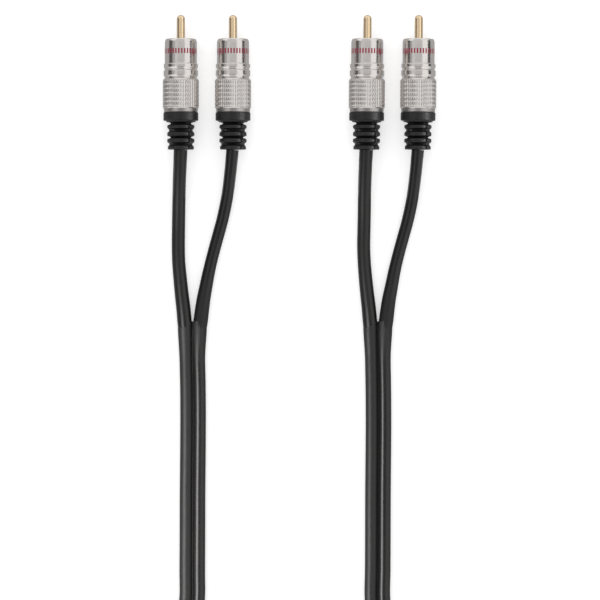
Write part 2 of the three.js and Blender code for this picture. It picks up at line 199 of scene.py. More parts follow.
class Graph:
    """A node tree with one method that adds any node."""

    def __init__(self, tree):
        self.tree = tree
        tree.nodes.clear()

    def add(self, kind, settings, inputs, output=0):
        """Adds a node, sets it up, fills its sockets with values or links, and gives an output."""
        node = self.tree.nodes.new(f"ShaderNode{kind}")
        for name, value in settings.items():
            if name == "stops":
                self.set_stops(node.color_ramp, value)
            else:
                setattr(node, name, value)
        for name, value in inputs.items():
            if isinstance(value, Signal):
                self.tree.links.new(value.socket, node.inputs[name])
            else:
                node.inputs[name].default_value = value
        return Signal(self, node.outputs[output]) if node.outputs else node

    @staticmethod
    def set_stops(ramp, stops):
        """Gives a colour ramp its stops, as pairs of place and grey."""
        while len(ramp.elements) < len(stops):
            ramp.elements.new(1)
        for element, (place, tone) in zip(ramp.elements, stops):
            element.position = place
            element.color = (tone, tone, tone, 1)

    def mix_colour(self, factor, first, second):
        """A colour between two others, through the Mix node's numbered colour sockets."""
        settings = {"data_type": "RGBA", "clamp_factor": True}
        return self.add("Mix", settings, {0: factor, 6: first, 7: second}, 2)

    def noise(self, place, scale, detail=3.0):
        """Noise at a place, by features per metre."""
        inputs = {"Vector": place, "Scale": scale, "Detail": detail, "Roughness": 0.55}
        return self.add("TexNoise", {}, inputs)

    def looked_at(self):
        """1 where the camera, a mirror or glass sees the surface, and 0 where it only gives light."""
        rays = ("Is Camera Ray", "Is Glossy Ray", "Is Transmission Ray")
        seen, mirrored, through_glass = (self.add("LightPath", {}, {}, ray) for ray in rays)
        return seen + mirrored + through_glass

    def position(self):
        """A point's place on the object."""
        return self.add("TexCoord", {}, {}, "Object")

    def stretched(self, place, scale):
        """A place scaled along each axis."""
        return self.add("VectorMath", {"operation": "MULTIPLY"}, {0: place, 1: scale})

    def bump(self, height, distance, strength):
        """A bumped normal from a height."""
        inputs = {"Height": height, "Distance": distance, "Strength": strength}
        return self.add("Bump", {}, inputs)


def new_material(name, surface):
    """A material whose shader comes from a function of its graph."""
    material = bpy.data.materials.new(name)
    material.use_nodes = True
    graph = Graph(material.node_tree)
    graph.add("OutputMaterial", {}, {"Surface": surface(graph)})
    return material


def new_finish(name, build):
    """A material whose principled shader takes its sockets from a function of graph and place."""

    def surface(graph):
        return graph.add("BsdfPrincipled", {}, build(graph, graph.position()))

    return new_material(name, surface)


def around_and_along(graph):
    """On a turned piece: turns about its axis, and millimetres along it from the barrel's mouth."""
    surface = graph.add("TexCoord", {}, {}, "UV")
    turns, along = (graph.add("SeparateXYZ", {}, {"Vector": surface}, axis) for axis in "XY")
    return turns, along * (1 / UV_PER_MM)


def nickel_finish(plug):
    """Satin nickel plate, duller on the neck, where painted shade also darkens its colour, with a ring
    of short printed dashes round the nose.
    """
    dash_start, dash_end = 0.22, 0.72  # shares of the dashes' pitch
    # The first colour drifts at random over the plating; the second is painted shade that darkens the
    # neck.
    tarnish, neck_painted_shade = (0.6, 0.575, 0.545, 1), (0.3, 0.285, 0.275, 1)

    def build(graph, place):
        turns, along = around_and_along(graph)
        behind = 0 - along
        dash = (turns * plug.mark_count).fraction()
        in_dash = (dash > dash_start) * (dash < dash_end)
        in_row = (behind > plug.mark_start / MM) * (behind < plug.mark_end / MM)
        ink = in_dash * in_row
        on_neck = behind > NECK_START / MM
        cloud = graph.noise(place, 700)
        grain = graph.noise(graph.stretched(place, (1, 0.25, 1)), 9000, 2.0)
        plating = graph.mix_colour(cloud * 0.35, plug.nickel, tarnish)
        # Painted shade: the neck's colour is darkened, as by the shadow of the boot's collar; only its
        # higher roughness below is real.
        plating = graph.mix_colour(on_neck * 0.55, plating, neck_painted_shade)
        return {
            "Base Color": graph.mix_colour(ink, plating, plug.ink),
            "Metallic": 1 - ink * 0.85,
            "Roughness": 0.13 + cloud * 0.08 + ink * 0.25 + on_neck * 0.2,
            "Normal": graph.bump(grain, 0.004 * MM, 0.6),
        }

    return new_finish("satin_nickel", build)


def gold_finish(plug):
    """Bright gold plate with faint turning marks."""
    deeper = (0.93, 0.69, 0.43, 1)

    def build(graph, place):
        cloud = graph.noise(place, 900)
        turning = graph.noise(graph.stretched(place, (0.05, 1, 0.05)), 16000, 2.0)
        return {
            "Base Color": graph.mix_colour(cloud * 0.4, plug.gold, deeper),
            "Metallic": 1.0,
            "Roughness": 0.16 + cloud * 0.1,
            "Normal": graph.bump(turning, 0.003 * MM, 0.5),
        }

    return new_finish("gold_plate", build)


def rubber_finish(plug):
    """Matt moulded rubber with a fine grain and faint streaks round it."""
    worn = (0.0065, 0.0065, 0.0068, 1)

    def build(graph, place):
        grain = graph.noise(place, 7000)
        streaks = graph.noise(graph.stretched(place, (0.1, 1, 0.1)), 2400, 2.0)
        cloud = graph.noise(place, 500)
        return {
            "Base Color": graph.mix_colour(cloud * 0.5, plug.rubber, worn),
            "Roughness": 0.38 + cloud * 0.12,
            "Normal": graph.bump(grain * 0.4 + streaks, 0.025 * MM, 0.5),
        }

    return new_finish("boot_rubber", build)


def vinyl_finish(cable):
    """Satin vinyl, as glossy as its mesh marks it, with faint drawing lines along it."""
    matt, glossy = 0.44, 0.24  # roughness
    warmer = (0.0098, 0.0086, 0.0081, 1)

    def build(graph, place):
        gloss = graph.add("Attribute", {"attribute_name": "gloss"}, {}, "Fac")
        cloud = graph.noise(place, 90, 2.0)
        grain = graph.noise(place, 5200)
        lines = graph.noise(graph.stretched(place, (1, 0.02, 1)), 2600, 2.0)
        return {
            "Base Color": graph.mix_colour(cloud, cable.vinyl, warmer),
            "Roughness": matt - gloss * (matt - glossy) + grain * 0.05,
            "Normal": graph.bump(grain * 0.6 + lines * 0.4, 0.018 * MM, 0.45),
        }

    return new_finish("cable_vinyl", build)


def plain_finish(name, shade, second, roughness, grain_scale, grain_depth, metallic=0.0):
    """A finish with a fine grain and a slow drift between two shades."""
    cloud_scale = grain_scale / 8

    def build(graph, place):
        cloud = graph.noise(place, cloud_scale)
        grain = graph.noise(place, grain_scale)
        return {
            "Base Color": graph.mix_colour(cloud, (*shade, 1), (*second, 1)),
            "Roughness": roughness - 0.05 + cloud * 0.1,
            "Metallic": metallic,
            "Normal": graph.bump(grain, grain_depth, 0.5),
        }

    return new_finish(name, build)


def strap_finish(cable):
    """A woven strap: fine crossed threads under a short nap."""
    worn_nap = (0.03, 0.03, 0.032, 1)

    def build(graph, place):
        along, lift = graph.stretched(place, (1, 0, 0)), graph.stretched(place, (0, 1, 1))
        warp = graph.noise(along, 3800, 1.0)
        weft = graph.noise(lift, 2600, 1.0)
        nap = graph.noise(place, 9000, 4.0)
        return {
            "Base Color": graph.mix_colour(nap, cable.strap, worn_nap),
            "Roughness": 0.85,
            "Sheen Weight": 0.3,
            "Normal": graph.bump(warp * weft + nap * 0.5, 0.12 * MM, 0.7),
        }

    return new_finish("tie_fabric", build)


# Meshes

def lofted(name, rows, along=None, close_rows=False):
    """A mesh through rows of points; a row of one point closes an end, and UVs follow the rows."""
    starts = []
    points = []
    for row in rows:
        starts.append(len(points))
        points.extend(row)
    columns = max(len(row) for row in rows)
    along = along or [i / len(rows) for i in range(len(rows))]
    pairs = [(i, i + 1) for i in range(len(rows) - 1)]
    if close_rows:
        pairs.append((len(rows) - 1, 0))
    faces = []
    surface = []
    for first, second in pairs:
        for j in range(columns):
            corners = [(first, j), (first, j + 1), (second, j + 1), (second, j)]
            if len(rows[first]) == 1:
                corners.pop(1)
            if len(rows[second]) == 1:
                corners.pop(2)
            faces.append([starts[row] + column % len(rows[row]) for row, column in corners])
            surface.extend((column / columns, along[row]) for row, column in corners)
    mesh = bpy.data.meshes.new(name)
    mesh.from_pydata(points, [], faces)
    layer = mesh.uv_layers.new(name="Surface")
    layer.data.foreach_set("uv", [value for pair in surface for value in pair])
    return finish_mesh(mesh)


def closed_ends(rows):
    """Rows of points with the middle of the first and of the last one added, to close a loft."""
    first, last = (sum(row, Vector()) / len(row) for row in (rows[0], rows[-1]))
    return [[first], *rows, [last]]


def finish_mesh(mesh):
    """Turns every face outwards and shades the mesh smooth but for its sharp edges."""
    work = bmesh.new()
    work.from_mesh(mesh)
    bmesh.ops.recalc_face_normals(work, faces=work.faces)
    work.to_mesh(mesh)
    work.free()
    mesh.shade_smooth()
    mesh.set_sharp_from_angle(angle=SHARP_EDGE)
    return mesh


def turned_mesh(name, profile, columns, reach=None, close=False):
    """A mesh turned about Y from (radius, station) points in millimetres.

    reach gives a point's radius from its row number, its angle from the top and its plain radius.
    """
    rows = []
    for i, (radius, station) in enumerate(profile):
        if radius <= 0:
            rows.append([Vector((0, station * MM, 0))])
            continue
        row = []
        for j in range(columns):
            angle = TURN * j / columns
            here = reach(i, angle, radius) if reach else radius
            row.append(Vector((math.sin(angle) * here, station, math.cos(angle) * here)) * MM)
        rows.append(row)
    along = [station * UV_PER_MM for radius, station in profile]
    return lofted(name, rows, along, close)


def quarter(radius, station, across, length_along, start, end, steps):
    """Points on a quarter of an ellipse, as in a profile, between two angles in degrees."""
    points = []
    for i in range(steps + 1):
        angle = math.radians(start + (end - start) * i / steps)
        points.append((radius + across * math.cos(angle), station + length_along * math.sin(angle)))
    return points


def held(profile):
    """A profile with points added near the ends of its long stretches, which keep its corners crisp."""
    margin, least_span = 0.09, 0.36
    points = [profile[0]]
    for first, second in zip(profile, profile[1:]):
        span = math.hypot(second[0] - first[0], second[1] - first[1])
        if span > least_span:
            for part in (margin / span, 1 - margin / span):
                points.append(tuple(a + (b - a) * part for a, b in zip(first, second)))
        points.append(second)
    return points


def place_piece(name, mesh, material, slot, matrix=None):
    """A new piece of the object, with its finish and body; slot is not used."""
    piece = bpy.data.objects.new(name, mesh)
    bpy.context.scene.collection.objects.link(piece)
    if matrix is not None:
        piece.matrix_world = matrix
    if not mesh.materials:
        mesh.materials.append(material)
    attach(piece, BODY)
    return piece


def lit_collection(pieces):
    """The collection of the pieces that a softbox lights."""
    name = f"{pieces}_lit"
    return bpy.data.collections.get(name) or bpy.data.collections.new(name)


def dress(node, material):
    """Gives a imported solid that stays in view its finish."""
    for material_slot in frame["nodes"][node].material_slots:
        material_slot.material = material


def plug_matrices():
    """Each plug's place: its origin at the barrel's mouth, its pin along local +Y, its top along +Z."""
    mounts = {mount["name"]: mount for mount in frame["record"]["mounts"]}
    places = {}
    for number in PLUGS:
        low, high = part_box(f"plug{number}_barrel")
        axis = Vector(mounts[f"plug{number}_mouth"]["axis"]).normalized()
        mouth = (low + high) / 2 + axis * BARREL_LENGTH / 2
        lean = math.atan2(-axis.x, axis.y)
        places[number] = Matrix.Translation(mouth) @ Matrix.Rotation(lean, 4, "Z")
    return places


def put_in_plugs(*pieces):
    """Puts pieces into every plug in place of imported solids, and gives the new objects back."""
    placed = []
    for number, matrix in plug_matrices().items():
        for node, name, mesh, finish, slot in pieces:
            piece = place_piece(f"plug{number}_{name}", mesh, finish, slot, matrix)
            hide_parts(f"plug{number}_{node}")
            placed.append(piece)
    return placed


# Routes of the cable, in millimetres

ON_FLOOR = 2.6
JOIN_HEIGHT = 2.85
JOIN_Y = -93.2
LEG_END_Y = -96.2
JOIN_OVERLAP = 3 * MM
JOIN_INSET = 0.12 * MM
SWELL_LENGTH = 22 * MM  # of a leg, behind its boot
DULLING = 1.6  # how far the gloss falls towards a join
LEFT_LEG = (  # each pair's left leg: places along Y and heights, from the boot to the join
    (-26.4, 7.05), (-32.6, 6.8), (-38.8, 6.0), (-45.1, 4.8), (-51.3, 3.6), (-57.6, 2.8),
    (-63.8, ON_FLOOR), (-70.0, ON_FLOOR), (-76.3, ON_FLOOR), (-82.5, ON_FLOOR), (-88.8, 2.75),
    (LEG_END_Y, JOIN_HEIGHT),
)
RIGHT_LEG = (
    (-26.4, 7.05), (-31.5, 6.8), (-36.5, 6.1), (-42.0, 4.9), (-48.0, 3.7), (-54.4, 2.85),
    (-60.7, ON_FLOOR), (-67.0, ON_FLOOR), (-73.2, ON_FLOOR), (-79.4, ON_FLOOR), (-85.7, 2.7),
    (LEG_END_Y, JOIN_HEIGHT),
)
LEG_PLACES = {  # along X
    1: (-46.4, -46.65, -46.92, -47.1, -47.24, -47.36, -47.42, -47.27, -46.73, -46.1, -45.37, -44.75),
    2: (-26.2, -26.65, -27.2, -27.9, -28.95, -30.4, -32.15, -33.85, -35.35, -36.6, -37.75, -39.1),
    3: (25.9, 25.6, 25.38, 25.25, 25.2, 25.08, 24.98, 25.2, 25.7, 26.33, 27.05, 27.65),
    4: (46.0, 45.55, 45.05, 44.4, 43.45, 42.03, 40.3, 38.58, 37.08, 35.87, 34.68, 33.32),
}
LEG_ROUTES = {
    number: [(x, y, z) for x, (y, z) in zip(places, LEFT_LEG if number in LEFT_LEGS else RIGHT_LEG)]
    for number, places in LEG_PLACES.items()
}
TWIN_STATIONS = (
    JOIN_Y, -106.3, -119, -131.5, -145, -160, -175, -190, -202, -212, -222, -232, -241, -250, -262,
)
TWIN_LEFT = list(zip(
    (-41.93, -41.97, -41.72, -41.65, -41.72, -41.85, -41.9, -41.97, -42.05, -43.7, -48.2, -54.0,
     -58.6, -60.5, -60.6),
    TWIN_STATIONS, (JOIN_HEIGHT, *[ON_FLOOR] * 14),
))
TWIN_RIGHT = list(zip(
    (30.48, 30.5, 30.7, 30.78, 30.7, 30.57, 30.53, 30.47, 30.4, 32.1, 36.8, 42.8, 47.4, 49.4, 49.6),
    TWIN_STATIONS, (JOIN_HEIGHT, *[ON_FLOOR] * 8, 2.8, 3.6, 4.9, 6.2, 7.25, 7.5),
))
COIL_CENTRE = Vector((-5.5, -284, 0)) * MM


def in_metres(points):
    """A route's points as vectors in metres."""
    return [Vector(point) * MM for point in points]


def smooth(value):
    """An even step from 0 to 1."""
    value = min(max(value, 0), 1)
    return value * value * (3 - 2 * value)


def through(points, step):
    """Points a step apart on a smooth line through the given ones."""
    ends = [2 * points[0] - points[1], *points, 2 * points[-1] - points[-2]]
    per_span = 12
    fine = []
    for a, b, c, d in zip(ends, ends[1:], ends[2:], ends[3:]):
        for i in range(per_span):
            t = i / per_span
            bend = (2 * a - 5 * b + 4 * c - d) * t * t + (3 * b - a - 3 * c + d) * t ** 3
            fine.append((2 * b + (c - a) * t + bend) / 2)
    fine.append(points[-1])
    total = sum((b - a).length for a, b in zip(fine, fine[1:]))
    spans = max(2, round(total / step))
    even = [fine[0]]
    walked = 0
    for a, b in zip(fine, fine[1:]):
        span = (b - a).length
        while len(even) < spans and walked + span >= len(even) * total / spans:
            even.append(a.lerp(b, (len(even) * total / spans - walked) / span))
        walked += span
    even.append(fine[-1])
    return even, total


def coil_route(cable):
    """The coil: an outer turn on the floor, inner turns that climb, and an outer turn on top."""
    per_turn = 42
    steps = round(cable.coil_turns * per_turn)
    jog_in, climb, jog_out = 5 / 6, 5 / 3, 5 / 2
    jog_span, climb_span = 1 / 6, 0.183
    tie_side, lift_reach = 0.75, 0.05
    route = []
    for i in range(1, steps):
        turn = i / per_turn
        inward = smooth((turn - jog_in) / jog_span) - smooth((turn - jog_out) / jog_span)
        radius = cable.coil_middle + cable.turn_pitch * (0.5 - inward)
        to_tie = (turn + 0.5 - tie_side + 0.5) % 1 - 0.5
        lift = cable.tie_thickness * math.exp(-((to_tie / lift_reach) ** 2))
        height = ON_FLOOR * MM + cable.layer_pitch * smooth((turn - climb) / climb_span) + lift
        angle = TURN * (turn + 0.5)
        route.append(COIL_CENTRE + Vector((math.cos(angle) * radius, math.sin(angle) * radius, height)))
    return route


def sides_of(route):
    """At each point of a route: the way across it, level with the floor, and the way up from it."""
    frames = []
    for i in range(len(route)):
        ahead = route[min(i + 1, len(route) - 1)] - route[max(i - 1, 0)]
        across = ahead.cross(UP).normalized()
        frames.append((across, across.cross(ahead).normalized()))
    return frames


def swept_mesh(name, route, section):
    """A closed tube along a route; section gives each ring's (across, up) points from its number."""
    rows = [[route[0]]]
    for i, (across, up) in enumerate(sides_of(route)):
        rows.append([route[i] + across * u + up * v for u, v in section(i)])
    return lofted(name, [*rows, [route[-1]]])


def twin_section(spacing, radius, web):
    """The figure-eight section: two round jackets and the thin web between them."""
    samples = 15
    half_web = web / 2
    least_web = 0.12 * MM
    end = math.pi - math.asin(half_web / radius)
    overlap = (least_web - spacing / 2) / radius
    if math.cos(end) < overlap:
        end = math.acos(overlap)
    upper = []
    for i in range(samples + 1):
        angle = end * i / samples
        upper.append((spacing / 2 + radius * math.cos(angle), radius * math.sin(angle)))
    left_upper = [(-u, v) for u, v in reversed(upper[1:])]
    lower = [(-u, -v) for u, v in upper[1:]]
    right_lower = [(u, -v) for u, v in reversed(upper[1:])]
    tip = (-spacing / 2 - radius, 0)
    return [*upper, *left_upper, tip, *lower, *right_lower]


def mark_gloss(mesh, values):
    """Marks how glossy each point of the vinyl is: 1 is glossy, 0 matt and less than 0 duller."""
    mesh.attributes.new("gloss", "FLOAT", "POINT").data.foreach_set("value", values)


# The studio

def flat_sheet(context, name, corners, surface):
    """A flat sheet with four corners, for the floor or a card."""
    mesh = bpy.data.meshes.new(name)
    mesh.from_pydata(corners, [], [(0, 1, 2, 3)])
    mesh.materials.append(new_material(name, surface))
    sheet = bpy.data.objects.new(name, mesh)
    context.scene.collection.objects.link(sheet)
    return sheet


def area_lamp(context, name, place, width, depth, energy):
    """A rectangular lamp that shines straight down."""
    light = bpy.data.lights.new(name, "AREA")
    light.shape = "RECTANGLE"
    light.size, light.size_y = width, depth
    light.energy = energy
    lamp = bpy.data.objects.new(name, light)
    lamp.location = place
    context.scene.collection.objects.link(lamp)
    return lamp


class PHONO_OT_stage(bpy.types.Operator):
    """Set up the camera, the floor and the studio light"""

    bl_idname = "phono.stage"
    bl_label = "Stage"

    def execute(self, context):
        stage = context.scene.phono_stage
        self.add_camera(context, stage)
        self.add_floor(context, stage)
        self.add_cards(context)
        self.add_lamp(context)
        self.add_softboxes(context)
        self.add_tent(context, stage)
        context.scene.view_settings.view_transform = "Standard"
        return {"FINISHED"}

    @staticmethod
    def add_camera(context, stage):
        """A long lens straight over the cable, with the plugs at the top of its frame."""
        lens = bpy.data.cameras.new("camera")
        lens.sensor_width = FILM_WIDTH
        lens.lens = lens.sensor_width * stage.camera_height / stage.view_width
        camera = bpy.data.objects.new("camera", lens)
        camera.location = VIEW_CENTRE + UP * stage.camera_height
        context.scene.collection.objects.link(camera)
        context.scene.camera = camera

    @staticmethod
    def add_floor(context, stage):
        """A pale floor that keeps soft shadows and shows white behind the lead and in its metal."""
        half = stage.floor_size / 2
        corners = [(-half, -half, 0), (half, -half, 0), (half, half, 0), (-half, half, 0)]

        def surface(graph):
            paper = graph.add("BsdfDiffuse", {}, {"Color": stage.floor})
            lift = graph.looked_at() * stage.floor_lift
            glow = graph.add("Emission", {}, {"Strength": lift})
            return graph.add("AddShader", {}, {0: paper, 1: glow})

        floor = flat_sheet(context, "floor", corners, surface)

    @staticmethod
    def add_cards(context):
        """Glowing cards that only gloss sees, which paint reflections: dark flags beside the lead, grey
        sheets over it, and grey sheets on the floor that paint the floor's shade into the metal and
        vinyl.
        """
        cards = (
            ("black_left", (-0.5, -0.25, 0.0), (-0.5, 0.25, 0.26), 0.1),
            ("grey_left", (-0.5, -0.25, 0.26), (-0.5, 0.25, 0.52), 0.45),
            ("black_right", (0.5, -0.015, 0.0), (0.5, 0.25, 0.19), 0.05),
            ("grey_over_plugs", (-0.95, 0.015, 1.0), (0.52, 1.8, 1.0), 0.65),
            ("grey_over_cable", (-0.5, -0.45, 1.0), (0.5, 0.015, 1.0), 0.22),
            ("grey_beyond", (-0.7, -1.8, 1.0), (0.5, -0.45, 1.0), 0.5),
            # Painted shade: the two grey sheets on the floor, seen only in reflections, stand in for
            # the floor's shadow around the plugs and the cable.
            ("painted_shade_under_plugs", (-0.5, -0.03, 0.0004), (0.5, 0.35, 0.0004), 0.48),
            ("painted_shade_under_cable", (-0.5, -0.6, 0.0004), (0.5, -0.045, 0.0004), 0.42),
        )
        for name, low, high, tone in cards:
            if low[0] == high[0]:
                second, fourth = (low[0], high[1], low[2]), (low[0], low[1], high[2])
            else:
                second, fourth = (high[0], low[1], low[2]), (low[0], high[1], low[2])

            # Each card glows at its tone, a painted reflection and no lamp.
            def surface(graph, tone=tone):
                return graph.add("Emission", {}, {"Strength": tone})

            card = flat_sheet(context, name, [low, second, high, fourth], surface)
            for rays in ("camera", "diffuse", "transmission", "shadow"):
                setattr(card, f"visible_{rays}", False)

    @staticmethod
    def add_lamp(context):
        """A broad soft lamp overhead, a little to the left."""
        side, watts = 1.2, 3.0
        area_lamp(context, "overhead", (-0.15, 0.0, 1.3), side, side, watts)

    @staticmethod
    def add_softboxes(context):
        """Small softboxes, each for its own pieces: the twin cable, the left legs or the boots.

        In each row: name, pieces that it lights, place in X, two ends in Y, height, radiance.
        """
        width_share = 0.8  # of a softbox's height over the floor
        softboxes = (
            ("softbox", "twin", -0.18, -0.4, -0.112, 0.2, 7.5),
            ("softbox_low", "twin", -0.18, -0.4, -0.17, 0.2, 6.0),
            ("softbox_legs", "legs", -0.18, -0.4, -0.112, 0.2, 1.6),
            ("softbox_leg1_end", "leg1", -0.079, -0.2, -0.086, 0.05, 2.2),
            ("softbox_leg3_end", "leg3", -0.0065, -0.2, -0.086, 0.05, 2.2),
            ("softbox_boots", "boots", 0.4, -0.25, 0.15, 0.2, 9.0),
            ("softbox_boots_left", "boots", -0.55, -0.25, 0.15, 0.2, 4.0),
        )
        for name, lit, left, low, high, height, radiance in softboxes:
            width, depth = width_share * height, high - low
            energy = radiance * math.pi * width * depth
            place = (left, (low + high) / 2, height)
            lamp = area_lamp(context, name, place, width, depth, energy)
            lamp.visible_camera = False
            lamp.light_linking.receiver_collection = lit_collection(lit)

    @staticmethod
    def add_tent(context, stage):
        """A white tent: even light from above, a little dimmer towards the floor."""
        world = bpy.data.worlds.new("tent")
        world.use_nodes = True
        context.scene.world = world
        graph = Graph(world.node_tree)
        direction = graph.add("TexCoord", {}, {}, "Generated")
        height = graph.add("SeparateXYZ", {}, {"Vector": direction}, "Z")
        stops = ((0.0, 0.75), (0.5, 0.95), (1.0, 1.0))
        tone = graph.add("ValToRGB", {"stops": stops}, {"Fac": height})
        white = graph.looked_at()
        shade = graph.mix_colour(white, tone, (1, 1, 1, 1))
        strength = white + (1 - white) * stage.sky
        light = graph.add("Background", {}, {"Color": shade, "Strength": strength})
        graph.add("OutputWorld", {}, {"Surface": light})


# Pieces

class PHONO_OT_cable(bpy.types.Operator):
    """Make the twin cable with its coil, and the four legs that part from it"""

    bl_idname = "phono.cable"
    bl_label = "Cable"

    def execute(self, context):
        cable = context.scene.phono_cable
        vinyl = vinyl_finish(cable)
        self.add_twin(cable, vinyl)
        for number in PLUGS:
            self.add_leg(cable, vinyl, number)
            dress(f"plug{number}_cable_end", vinyl)
        return {"FINISHED"}

    @staticmethod
    def add_twin(cable, vinyl):
        """One figure-eight cable from the left join, round the coil, to the right join."""
        left, right = in_metres(TWIN_LEFT), in_metres(reversed(TWIN_RIGHT))
        route, total = through([*left, *coil_route(cable), *right], cable.ring_step)
        last = len(route) - 1
        dull_length = 22 * MM

        def from_join(i):
            return min(i, last - i) * total / last

        def section(i):
            closing = 1 - smooth(from_join(i) / cable.join_length)
            spacing = cable.lobe_spacing + (cable.join_spacing - cable.lobe_spacing) * closing
            radius = cable.lobe_radius + (cable.join_radius - cable.lobe_radius) * closing
            radius -= JOIN_INSET * (1 - smooth(from_join(i) / JOIN_OVERLAP))
            return twin_section(spacing, radius, cable.web_thickness)

        mesh = swept_mesh("twin_cable", route, section)
        sides = [math.copysign(1, u) for u, v in section(len(route) // 2)]
        values = [0.5]
        for i, (across, _) in enumerate(sides_of(route)):
            glossy = 1 - DULLING * (1 - smooth(from_join(i) / dull_length))
            values.extend((0.5 + 0.5 * across.x * side) * glossy for side in sides)
        mark_gloss(mesh, [*values, 0.5])
        twin = place_piece("twin_cable", mesh, vinyl, "cable_vinyl")
        lit_collection("twin").objects.link(twin)
        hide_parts("twin_left", "twin_right", "cable_coil")
        tuple(route[0])
        [tuple(point) for point in route]

    @staticmethod
    def add_leg(cable, vinyl, number):
        """A round leg from its boot to the join."""
        on_left = number in LEFT_LEGS
        radius = cable.thick_leg if on_left else cable.thin_leg
        route, total = through(in_metres(LEG_ROUTES[number]), cable.ring_step)
        last = len(route) - 1
        samples = 32
        angles = [TURN * j / samples for j in range(samples)]
        swell = 0.08 * MM
        swell_start, gloss_start, span = 0.58, 0.6, 0.4  # shares of the leg's length

        def section(i):
            walked = total * i / last
            near_boot = 1 - smooth(walked / SWELL_LENGTH)
            near_join = smooth((walked / total - swell_start) / span)
            into_twin = smooth((walked - total + JOIN_OVERLAP) / JOIN_OVERLAP)
            here = radius + swell * near_boot + (cable.join_radius - radius) * near_join
            here -= JOIN_INSET * into_twin
            return [(here * math.cos(angle), here * math.sin(angle)) for angle in angles]

        mesh = swept_mesh(f"leg{number}_jacket", route, section)
        values = [0.0]
        for i in range(len(route)):
            to_join = smooth((i / last - gloss_start) / span)
            values.extend([0.5 + 0.5 * to_join if on_left else 1 - DULLING * to_join] * samples)
        mark_gloss(mesh, [*values, 0.0])
        leg = place_piece(f"leg{number}_jacket", mesh, vinyl, "cable_vinyl")
        if on_left:
            lit_collection("legs").objects.link(leg)
            lit_collection(f"leg{number}").objects.link(leg)
        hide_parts(f"leg{number}")
        tuple(route[0])
        [tuple(point) for point in route]


class PHONO_OT_tie(bpy.types.Operator):
    """Make the strap that ties the coil"""

    bl_idname = "phono.tie"
    bl_label = "Coil Tie"

    def execute(self, context):
        cable = context.scene.phono_cable
        thickness = cable.tie_thickness
        side_room, top_room, corner = 0.15 * MM, 0.3 * MM, 2.4 * MM
        half_across = cable.turn_pitch + side_room + thickness / 2
        bottom = thickness / 2
        top = bottom + thickness + 2 * cable.layer_pitch + top_room
        line = self.loop_line(half_across, bottom, top, corner)
        overlap, lift = 19, thickness * 1.05
        wraps = line + [
            line[i] + self.outward(line[i - 1], line[i + 1]) * lift for i in range(overlap)
        ]
        rows = []
        for i, point in enumerate(wraps):
            out = self.outward(wraps[max(i - 1, 0)], wraps[min(i + 1, len(wraps) - 1)])
            rows.append(self.strap_ring(point, out, cable))
        mesh = lofted("coil_strap", closed_ends(rows))
        middle = COIL_CENTRE - Vector((0, cable.coil_middle, 0))
        mesh.transform(Matrix.Translation(middle))
        strap = place_piece("coil_strap", mesh, strap_finish(cable), "tie_fabric")
        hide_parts("coil_tie")
        return {"FINISHED"}

    @staticmethod
    def loop_line(half_across, bottom, top, corner):
        """The strap's line round the turns, a rounded rectangle in the plane across them."""
        line = []
        side = half_across - corner
        centres = (
            (side, top - corner, 0), (-side, top - corner, 90),
            (-side, bottom + corner, 180), (side, bottom + corner, 270),
        )
        for y, z, start in centres:
            arc = quarter(y, z, corner, corner, start, start + 90, 8)
            line.extend(Vector((0, across, up)) for across, up in arc)
        return line

    @staticmethod
    def outward(before, after):
        """The way out of the loop between two of its points."""
        ahead = after - before
        return Vector((0, ahead.z, -ahead.y)).normalized()

    @staticmethod
    def strap_ring(point, out, cable):
        """The strap's section at a point: flat, with rounded edges."""
        half_width = cable.tie_width / 2
        half_thick = cable.tie_thickness / 2
        edge = half_thick * 0.7
        inner_width, inner_thick = half_width - edge, half_thick - edge
        corners = (
            (inner_width, half_thick), (half_width, inner_thick),
            (half_width, -inner_thick), (inner_width, -half_thick),
            (-inner_width, -half_thick), (-half_width, -inner_thick),
            (-half_width, inner_thick), (-inner_width, half_thick),
        )
        return [point + Vector((u, 0, 0)) + out * v for u, v in corners]


